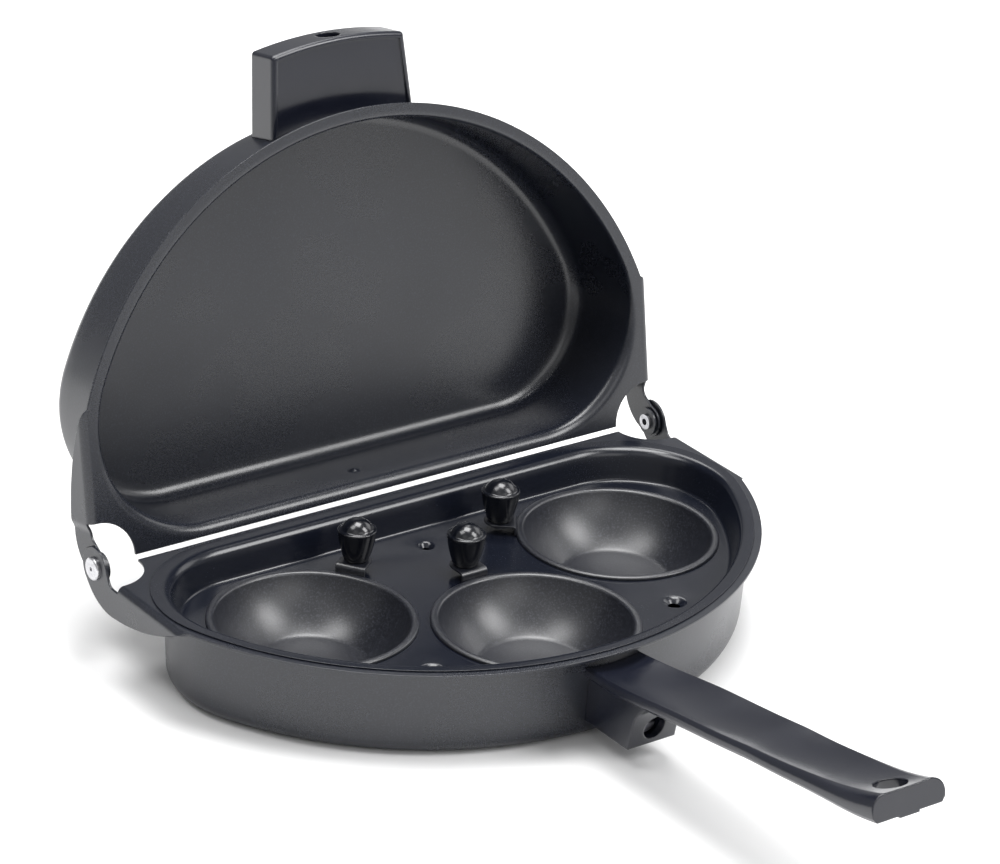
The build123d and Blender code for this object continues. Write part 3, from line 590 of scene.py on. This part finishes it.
def flatFloor(outline, rings, openings):
    # the flat floor triangulated between its outline and the openings' rings, without the triangles whose
    # three corners all lie on one opening
    corners, edges = [], []
    for loop in [outline] + rings:
        first = len(corners)
        corners += loop.tolist()
        edges += [(first + i, first + (i + 1) % len(loop)) for i in range(len(loop))]
    made = delaunay_2d_cdt([Vector(p) for p in corners], edges, [], 1, trayPoints["sameWithin"])
    flat, triangles = np.array(made[0]), np.array(made[2])
    beyond = [np.hypot(flat[:, 0] - x, flat[:, 1] - y) > r + trayPoints["closeTo"] for x, y, r in openings]
    kept = np.all([outside[triangles].any(1) for outside in beyond], axis=0)
    return np.column_stack([flat, np.full(len(flat), traySize["floor"])]), triangles[kept]


def poacherTray():
    # the shell, the collars of the three cup holes, the flat floor between them, and the vents' mouths
    shell = trayShell()
    collars = [holeCollar(x, y) for x, y, tab in cupPlaces.values()]
    vents = [ventRings(x, y, share) for x, y, share in traySize["vents"]]
    openings = [(x, y, traySize["holeRadius"] + traySize["collar"]) for x, y, tab in cupPlaces.values()]
    openings += [(x, y, share * traySize["ventMouth"]) for x, y, share in traySize["vents"]]
    rings = [collar[1, :, :2] for collar in collars] + [vent[0, :, :2] for vent in vents]
    parts = [grid(part, closed=True) for part in [shell] + collars]
    parts.append(flatFloor(shell[0, :, :2], rings, openings))
    return parts + [grid(vent, closed=True) for vent in vents]


buildPiece("PoacherTray", poacherTray(), nonStickTray, "tray", ["poacher_tray"],
           traySize["sheet"], traySize["softEdge"], up=(0, 0, 1))


# egg cups and their knobs

cupSize = {
    "bowl": 34.2, "floor": 20.0, "depth": 18.0, "sheet": 0.8,
    "creaseRun": 1.3, "creaseTurn": 2.2, "mouthTurn": 1.4,  # where the ball's arc meets the floor and the lip
    "lip": 37.0, "lipTop": 23.9, "lipUnder": 22.95, "lipRound": 23.3, "lipTuck": 1.0,
    "beadRise": 0.25, "beadStart": 1.3, "beadEnd": 1.5,
}
cupPoints = {"floor": 8, "crease": 7, "inside": 26, "bead": 9, "roll": 8, "under": 22, "base": 6,
             "around": 112}
tabSize = {"root": 0.3, "rootRise": 0.4, "top": 26.9, "width": 11.0, "reach": 43.0, "bend": 1.6,
           "softEdge": 0.2}
tabPoints = {"riser": 4, "bend": 8, "flat": 8, "end": 14, "across": 13}
knobSize = {"base": 4.4, "rounding": 0.3, "bulge": 0.7, "rim": 7.0, "rimHeight": 12.0, "rimEdge": 0.7,
            "rimUpright": 0.2, "rimTuck": 0.35, "rimRise": 0.1, "shoulder": 5.9, "shoulderHeight": 12.3,
            "stepRun": 0.15, "stepDrop": 0.05, "height": 15.9}
knobPoints = {"flank": 16, "rim": 5, "cap": 14, "around": 72}


def placed(points, x, y, turn, rise=0.0):
    # turned about Z, then moved
    c, s = math.cos(math.radians(turn)), math.sin(math.radians(turn))
    return np.stack([x + points[..., 0] * c - points[..., 1] * s, y + points[..., 0] * s + points[..., 1] * c,
                     points[..., 2] + rise], -1)


def eggCup():
    # the bowl is part of a ball standing on a flat floor, with a beaded lip; the profile goes out along
    # the inside and back along the underside, and is spun round
    bowl, floorEdge, sheet = cupSize["bowl"], cupSize["floor"], cupSize["sheet"]
    lip, lipUnder = cupSize["lip"], cupSize["lipUnder"]
    floorZ = cupSize["lipTop"] - cupSize["depth"]
    rise = (bowl ** 2 - floorEdge ** 2 - cupSize["depth"] ** 2) / (2 * cupSize["depth"])
    ball, ballZ = math.hypot(bowl, rise), cupSize["lipTop"] + rise
    mouthAngle = math.degrees(math.atan2(-rise, bowl))
    floorAngle = math.degrees(math.atan2(-rise - cupSize["depth"], floorEdge))
    insideStart, insideEnd = floorAngle + cupSize["creaseTurn"], mouthAngle - cupSize["mouthTurn"]
    inside = arcPoints(0, ballZ, ball, insideStart, insideEnd, cupPoints["inside"])
    flatEdge = floorEdge - cupSize["creaseRun"]
    crease = curveThrough((flatEdge, floorZ), (floorEdge, floorZ), inside[0], cupPoints["crease"])
    floor = level(np.linspace(0, flatEdge, cupPoints["floor"])[:-1], floorZ)
    crown = cupSize["lipTop"] + cupSize["beadRise"]
    bead = curveThrough(inside[-1], (bowl, crown), (bowl + cupSize["beadStart"], crown), cupPoints["bead"])
    roll = curveThrough((bowl + cupSize["beadEnd"], crown), (lip, crown), (lip, cupSize["lipRound"]),
                        cupPoints["roll"])
    hem = [(lip, lipUnder), (bowl + cupSize["lipTuck"], lipUnder)]
    outer = ball + sheet
    underTop, underEnd = (-math.degrees(math.asin((ballZ - z) / outer)) for z in (lipUnder, floorZ - sheet))
    under = arcPoints(0, ballZ, outer, underTop, underEnd, cupPoints["under"])
    base = level(np.linspace(under[-1, 0], 0, cupPoints["base"])[1:], floorZ - sheet)
    profile = np.concatenate([floor, crease, inside[1:], bead[1:], roll, hem, under, base])
    return [grid(spun(profile, cupPoints["around"]), closed=True)]


def cupTab():
    # a tongue that rises from the lip, bends over and ends in a half circle: its path is carried across
    # the width, which shrinks to the circle at the end
    start, half, bend = cupSize["lip"] - tabSize["root"], tabSize["width"] / 2, tabSize["bend"]
    foot, top, reach = cupSize["lipUnder"] + tabSize["rootRise"], tabSize["top"], tabSize["reach"]
    riser = np.linspace((start, foot), (start, top - bend), tabPoints["riser"])
    over = arcPoints(start + bend, top - bend, bend, 180, 90, tabPoints["bend"])[1:]
    flat = level(np.linspace(start + bend, reach, tabPoints["flat"])[1:], top)
    angle = np.linspace(0, math.pi / 2, tabPoints["end"])[1:]
    halfRound = level(reach + half * np.sin(angle), top)
    path = np.concatenate([riser, over, flat, halfRound])
    width = np.concatenate([np.full(len(path) - len(angle), half), half * np.cos(angle)])
    across = np.linspace(-1, 1, tabPoints["across"])
    tongue = np.stack([path[:, :1] + 0 * across, width[:, None] * across, path[:, 1:] + 0 * across], -1)
    return [grid(tongue)]


def cupKnob():
    # flared flank, sharp rim with its edge broken, a narrow step and a domed top, spun round
    k = knobSize
    edgeLow = k["rimHeight"] - k["rimEdge"]
    foot = np.array([(0, 0.0), (k["base"] - k["rounding"], 0.0)])
    flank = curveThrough((k["base"], k["rounding"]), ((k["base"] + k["rim"]) / 2 + k["bulge"], edgeLow / 2),
                         (k["rim"], edgeLow), knobPoints["flank"])
    rim = curveThrough((k["rim"], edgeLow + k["rimUpright"]), (k["rim"], k["rimHeight"]),
                       (k["rim"] - k["rimTuck"], k["rimHeight"] + k["rimRise"]), knobPoints["rim"])
    step = [(k["shoulder"] + k["stepRun"], k["shoulderHeight"] - k["stepDrop"]),
            (k["shoulder"], k["shoulderHeight"])]
    dome = k["height"] - k["shoulderHeight"]
    ball = (k["shoulder"] ** 2 + dome ** 2) / (2 * dome)
    start = math.degrees(math.asin((ball - dome) / ball))
    cap = arcPoints(0, k["height"] - ball, ball, start, 90, knobPoints["cap"])[1:]
    return [grid(spun(np.concatenate([foot, flank, rim, step, cap]), knobPoints["around"]), closed=True)]


for cupName, (x, y, tabTurn) in cupPlaces.items():
    body = "cup_" + cupName
    bowl = movedParts(eggCup(), lambda points: placed(points, x, y, tabTurn))
    buildPiece("EggCup." + cupName, bowl, nonStickCup, body, ["egg_cup_" + cupName])
    tab = movedParts(cupTab(), lambda points: placed(points, x, y, tabTurn))
    buildPiece("CupTab." + cupName, tab, nonStickCup, body, ["egg_cup_" + cupName],
               cupSize["sheet"], tabSize["softEdge"], up=(0, 0, 1))
    knobX = x + tabSize["reach"] * math.cos(math.radians(tabTurn))
    knobY = y + tabSize["reach"] * math.sin(math.radians(tabTurn))
    knob = movedParts(cupKnob(), lambda points: placed(points, knobX, knobY, tabTurn, tabSize["top"]))
    buildPiece("CupKnob." + cupName, knob, phenolicKnob, body, ["cup_knob_" + cupName])


# floor, lights and camera

studioLook = {"floorHalf": 6.0, "floorDrop": 0.0002, "floorColour": "#f7f7f7", "floorRoughness": 0.9,
              "airBrightness": 0.36}  # metres here
half, drop = studioLook["floorHalf"], studioLook["floorDrop"]
floorMesh = bpy.data.meshes.new("StudioFloor")
floorCorners = [(-half, -half, -drop), (half, -half, -drop), (half, half, -drop), (-half, half, -drop)]
floorMesh.from_pydata(floorCorners, [], [(0, 1, 2, 3)])
floorMesh.materials.append(startMaterial("FloorPaint", {"Base Color": hexToLinear(studioLook["floorColour"]),
                                                        "Roughness": studioLook["floorRoughness"]})[0])
studioFloor = bpy.data.objects.new("StudioFloor", floorMesh)
bpy.context.scene.collection.objects.link(studioFloor)

world = bpy.data.worlds.new("StudioAir")
bpy.context.scene.world = world
world.use_nodes = True
world.node_tree.nodes["Background"].inputs["Color"].default_value = (1, 1, 1, 1)
world.node_tree.nodes["Background"].inputs["Strength"].default_value = studioLook["airBrightness"]

# each softbox: azimuth from +X and elevation, then its distance, width and height in metres, and how
# bright its face looks
softLights = {
    "frontRightSoftbox": (-50, 45, 3.0, 1.0, 1.4, 9.5),
    "leftHighSoftbox": (165, 65, 3.0, 1.1, 1.1, 6.2),
    "topSoftbox": (40, 82, 3.0, 1.5, 1.5, 11.0),
    "frontSoftbox": (-95, 32, 3.4, 2.0, 1.4, 1.3),
    "rightSoftbox": (0, 30, 3.4, 2.0, 1.4, 1.8),
    "frontLeftSoftbox": (-140, 45, 3.2, 1.4, 1.4, 0.5),
    "backHighSoftbox": (58, 50, 3.2, 1.5, 1.0, 5.0),
}
for lightName, (azimuth, elevation, distance, width, height, brightness) in softLights.items():
    lamp = bpy.data.lights.new(lightName, "AREA")
    lamp.shape = "RECTANGLE"
    lamp.size = width
    lamp.size_y = height
    lamp.energy = math.pi * width * height * brightness
    lampObject = bpy.data.objects.new(lightName, lamp)
    bpy.context.scene.collection.objects.link(lampObject)
    around, high = math.radians(azimuth), math.radians(elevation)
    towards = Vector((math.cos(around) * math.cos(high), math.sin(around) * math.cos(high), math.sin(high)))
    lampObject.location = towards * distance
    lampObject.rotation_euler = (-towards).to_track_quat("-Z", "Y").to_euler()

cameraView = {"azimuth": -37.22, "elevation": 25.1, "roll": 3.18, "distance": 1512.95,
              "target": (10.44, -37.8, 77.02), "lens": 155.62, "sensor": 36.0,
              "nearest": 50, "furthest": 50000}
around, high, roll = (math.radians(cameraView[k]) for k in ("azimuth", "elevation", "roll"))
back = Vector((math.sin(around) * math.cos(high), -math.cos(around) * math.cos(high), math.sin(high)))
side = Vector((math.cos(around), math.sin(around), 0))
up = back.cross(side)
rolledSide = side * math.cos(roll) + up * math.sin(roll)
rolledUp = up * math.cos(roll) - side * math.sin(roll)
photoLens = bpy.data.cameras.new("PhotoCamera")
photoLens.sensor_width = cameraView["sensor"]
photoLens.lens = cameraView["lens"]
photoLens.clip_start = cameraView["nearest"] / 1000
photoLens.clip_end = cameraView["furthest"] / 1000
camera = bpy.data.objects.new("PhotoCamera", photoLens)
bpy.context.scene.collection.objects.link(camera)
turned = Matrix((rolledSide, rolledUp, back)).transposed().to_4x4()
stand = (Vector(cameraView["target"]) + back * cameraView["distance"]) / 1000
camera.matrix_world = Matrix.Translation(stand) @ turned
bpy.context.scene.camera = camera
bpy.context.scene.view_settings.view_transform = "Standard"
print("floor, lights and camera set")
